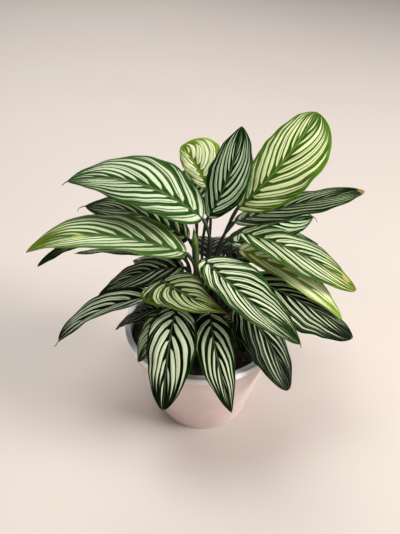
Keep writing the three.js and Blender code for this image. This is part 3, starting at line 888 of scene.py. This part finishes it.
def stalkMaterial():
    material, tree, shader = newMaterial("stalkSkin")
    along = addNode(tree, "ShaderNodeAttribute", attribute_name="along").outputs["Fac"]
    streaks = objectNoise(tree, 260, 5, 0.65, (1, 1, 0.08))
    greenShare = fade(streaks, 0.42, 0.68)
    skin = mix(greenShare, stalkPlan["purple"], stalkPlan["green"])
    knuckle = times(fade(along, 0.84, 0.9), 0.8)
    skin = mix(knuckle, skin, stalkPlan["knuckleGreen"])
    ribStreaks = fade(streaks, 0.3, 0.7)
    ribColour = mix(ribStreaks, stalkPlan["rib"], stalkPlan["paleRib"])
    skin = mix(fade(along, 1.0, 1.1), skin, ribColour)
    finishLooks(shader, skin, fade(streaks, 0.3, 0.7, 0.38, 0.55), streaks, 0.3, 0.0004)
    return material


def dryMaterial():
    material, tree, shader = newMaterial("dryTail")
    fibres = objectNoise(tree, 500, 4, 0.7)
    tanShare = fade(fibres, 0.35, 0.65)
    colour = mix(tanShare, tailPlan["brown"], tailPlan["tan"])
    finishLooks(shader, colour, fade(fibres, 0.2, 0.8, 0.6, 0.85), fibres, 0.5, 0.0003)
    return material


def makeLeaves(skin):
    group, dry = markingsGroup(), dryMaterial()
    for seed, (name, given) in enumerate(leafPlan.items(), 1):
        leaf = {**plainLeaf, **given}
        bm = bmesh.new()
        midrib, right = makeBlade(bm, leaf, seed)
        makeStalk(bm, leaf, midrib, right)
        if leaf["tail"]:
            makeTail(bm, leaf, midrib, right, seed)
        upper, under = upperMaterial(name, group, leaf, seed), underMaterial(name, group, leaf, seed)
        finishPiece("foliage_" + name, bm, [upper, under, skin, dry], "leaf_" + name)


# the newest leaf, still rolled into a spike, in mm
rolledPlan = {
    "foot": (-5, -1), "top": (-8, 3, 212), "rolledShare": 0.4, "turns": 2.3,
    "stalkSteps": 20, "stalkSides": 12, "stalkRadius": 1.5, "overlap": 0.06,
    "sheetSteps": 60, "core": 0.9, "swell": 3.8, "pointRadius": 0.25, "thickness": 0.2,
    "body": paint(36, 48, 20), "streak": paint(62, 84, 30),
    "fresh": paint(88, 116, 34), "dark": paint(26, 30, 14),
}


def rolledMaterial():
    material, tree, shader = newMaterial("rolledYoungLeaf")
    along = addNode(tree, "ShaderNodeAttribute", attribute_name="along").outputs["Fac"]
    streaks = objectNoise(tree, 300, 4, 0.6, (1, 1, 0.06))
    streakShare = fade(streaks, 0.4, 0.65)
    colour = mix(streakShare, rolledPlan["body"], rolledPlan["streak"])
    # fresh green near the top, then a dark point
    fresh = times(fade(along, 0.82, 0.89), fade(along, 0.93, 0.96, 1.0, 0.0))
    colour = mix(fresh, colour, rolledPlan["fresh"])
    colour = mix(fade(along, 0.93, 0.97), colour, rolledPlan["dark"])
    finishLooks(shader, colour, fade(streaks, 0.2, 0.8, 0.36, 0.52), streaks, 0.35, 0.0004)
    return material


def makeRolledLeaf(skin):
    x, y = rolledPlan["foot"]
    surface = soilHeight(x, y)
    base, top = Vector((x, y, surface + stalkPlan["straight"])), Vector(rolledPlan["top"])
    knee = Vector((x, y, (base.z + top.z) / 2))
    path = (base, base.lerp(knee, 2 / 3), top.lerp(knee, 2 / 3), top)
    side = Vector((1, 0, 0))
    bm = bmesh.new()
    along = bm.verts.layers.float.new("along")
    start = 1 - rolledPlan["rolledShare"]
    # the stalk, up into the foot of the roll
    buried = Vector((x, y, surface - stalkPlan["buried"]))
    places = [placeAt(buried * mm, side, up, stalkPlan["footRadius"] * mm)]
    for index in range(rolledPlan["stalkSteps"] + 1):
        share = (start + rolledPlan["overlap"]) * index / rolledPlan["stalkSteps"]
        point = cubicPoint(path, share) * mm
        places.append(placeAt(point, side, cubicAhead(path, share), rolledPlan["stalkRadius"] * mm))
    stalkFaces = sweepTube(bm, places, rolledPlan["stalkSides"], 0)[1]
    # a flat sheet wound round the path
    steps = rolledPlan["sheetSteps"]
    for vert in bmesh.ops.create_grid(bm, x_segments=steps, y_segments=steps, size=1)["verts"]:
        share = (vert.co.x + 1) / 2
        turn = (vert.co.y + 1) / 2
        height = start + (1 - start) * share
        matrix = placeAt(cubicPoint(path, height), side, cubicAhead(path, height), 1)
        loosen = 0.4 + 0.6 * turn
        bulge = math.sin(math.pi * min(share * 0.96 + 0.12, 1)) ** 0.8
        radius = blend(rolledPlan["core"], rolledPlan["swell"], bulge) * loosen * ease(1.0, 0.9, share)
        radius = max(radius, rolledPlan["pointRadius"] * loosen)
        angle = 2 * math.pi * rolledPlan["turns"] * turn + 0.5 * share
        vert.co = matrix @ Vector((radius * math.cos(angle), radius * math.sin(angle), 0)) * mm
        vert[along] = height
    rolled = [face for face in bm.faces if face not in stalkFaces]
    bmesh.ops.recalc_face_normals(bm, faces=rolled)
    bmesh.ops.solidify(bm, geom=rolled, thickness=rolledPlan["thickness"] * mm)
    for face in bm.faces:
        face.material_index = 0 if face in stalkFaces else 1
    finishPiece("foliage_rolled_new", bm, [skin, rolledMaterial()], "leaf_rolled_new")


# the floor and the lights, in m and W
stagePlan = {
    "floor": paint(202, 190, 181), "paleFloor": paint(206, 198, 190), "size": 8,
    "background": paint(226, 222, 218), "backgroundStrength": 0.22, "aim": (0, 0, 0.15),
}
# place, size and power
lightPlan = {
    "key": ((1.9, -0.5, 1.35), 1.0, 54),
    "top": ((-0.3, 0.3, 2.1), 1.2, 26),
    "fill": ((-1.5, -1.2, 1.2), 1.6, 5),
    "rear": ((-0.7, 2.5, 2.2), 2.4, 42),
    "low": ((1.5, -0.6, 0.28), 0.5, 7),
}


def makeFloor():
    bm = bmesh.new()
    bmesh.ops.create_grid(bm, x_segments=1, y_segments=1, size=stagePlan["size"] / 2)
    material, tree, shader = newMaterial("paleFloor")
    clouds = fade(objectNoise(tree, 3, 3), 0.3, 0.7, 0.0, 0.25)
    colour = mix(clouds, stagePlan["floor"], stagePlan["paleFloor"])
    connect(colour, shader.inputs["Base Color"])
    shader.inputs["Roughness"].default_value = 0.7
    finishPiece("floor", bm, [material])


def makeLights():
    aim = Vector(stagePlan["aim"])
    for name, (place, size, power) in lightPlan.items():
        data = bpy.data.lights.new(name, "AREA")
        data.shape = "DISK"
        data.size = size
        data.energy = power
        light = bpy.data.objects.new(name, data)
        light.location = place
        light.rotation_euler = (aim - Vector(place)).to_track_quat("-Z", "Y").to_euler()
        bpy.context.collection.objects.link(light)
    world = bpy.data.worlds.new("softRoom")
    world.use_nodes = True
    background = world.node_tree.nodes["Background"]
    background.inputs[0].default_value = stagePlan["background"]
    background.inputs[1].default_value = stagePlan["backgroundStrength"]
    bpy.context.scene.world = world
    bpy.context.scene.view_settings.view_transform = "Standard"


cameraPlan = {"place": (-0.0026, -0.359, 0.439), "downTilt": 36.7, "lens": 33.7, "sensor": 36}


def makeCamera():
    data = bpy.data.cameras.new("camera")
    data.lens = cameraPlan["lens"]
    data.sensor_width = cameraPlan["sensor"]
    camera = bpy.data.objects.new("camera", data)
    camera.location = cameraPlan["place"]
    camera.rotation_euler = (math.radians(90 - cameraPlan["downTilt"]), 0, 0)
    bpy.context.collection.objects.link(camera)
    bpy.context.scene.camera = camera


makeCamera()
makeFloor()
makeLights()
print("stage and camera made")
makePot()
print("pot made")
makeSoil()
print("potting mix made")
stalkSkin = stalkMaterial()
makeLeaves(stalkSkin)
print("leaves made")
makeRolledLeaf(stalkSkin)
print("rolled leaf made")
